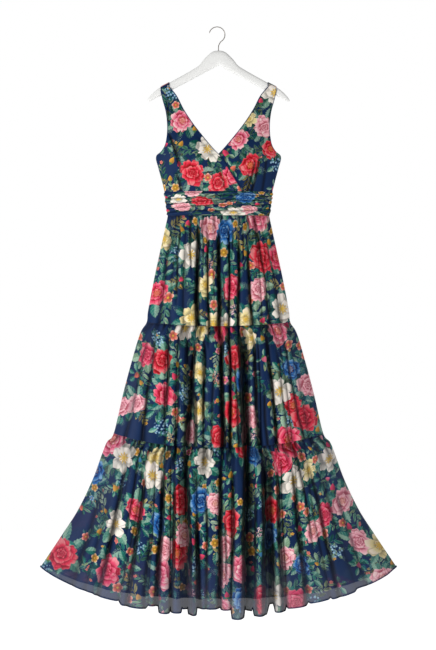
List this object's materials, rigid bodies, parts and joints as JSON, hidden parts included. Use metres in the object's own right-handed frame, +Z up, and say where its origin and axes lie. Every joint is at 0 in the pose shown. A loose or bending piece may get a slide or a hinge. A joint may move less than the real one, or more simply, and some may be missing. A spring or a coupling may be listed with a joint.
{
  "type": "maxi dress on a hanger",
  "caption": "Sleeveless V-neck wrap-front maxi dress in floral chiffon with a ruched waistband and gathered tiers, hanging on a contoured hanger with a wire hook.",
  "frame": {"origin": "inner top of the hanger's hook, where a rail holds it", "axes": "+Z up, the dress's front towards -Y, its width along X"},
  "size_m": [0.994, 0.2059, 1.6391],
  "materials": {
    "chiffon": "matt printed chiffon",
    "chiffon_sheer": "sheer printed chiffon",
    "hanger_white": "satin white",
    "hook_steel": "bright wire"
  },
  "bodies": {
    "root": {"bodice_front_left": "chiffon", "bodice_front_right": "chiffon", "bodice_back": "chiffon", "waistband_front": "chiffon", "waistband_back": "chiffon", "tier1_front": "chiffon", "tier1_back": "chiffon", "tier2_front": "chiffon", "tier2_back": "chiffon", "tier3_front": "chiffon_sheer", "tier3_back": "chiffon_sheer", "hanger_body": "hanger_white", "hanger_hook": "hook_steel"}
  },
  "joints": []
}
